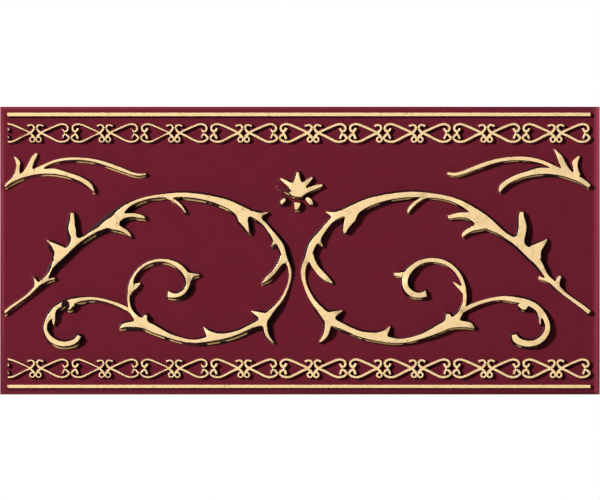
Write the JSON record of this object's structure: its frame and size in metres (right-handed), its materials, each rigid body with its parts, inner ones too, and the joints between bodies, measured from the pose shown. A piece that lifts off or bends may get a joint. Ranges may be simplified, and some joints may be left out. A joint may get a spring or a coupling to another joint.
{
  "type": "border tile",
  "caption": "Rectangular glazed ceramic border tile with rails, heart-scroll bands and a mirrored leafy vine in gilded relief, laid face up on its ribbed back.",
  "frame": {"origin": "middle of the bed, where the ribs of the back meet the floor", "axes": "+X along the border's length, +Y across it towards the picture's top edge, +Z out of the decorated face"},
  "size_m": [0.25, 0.12, 0.0098],
  "materials": {
    "glazed_tile": "glossy burgundy glaze, with the relief gilded in a pale satin gold"
  },
  "bodies": {
    "root": {"border_tile": "glazed_tile"}
  },
  "joints": []
}
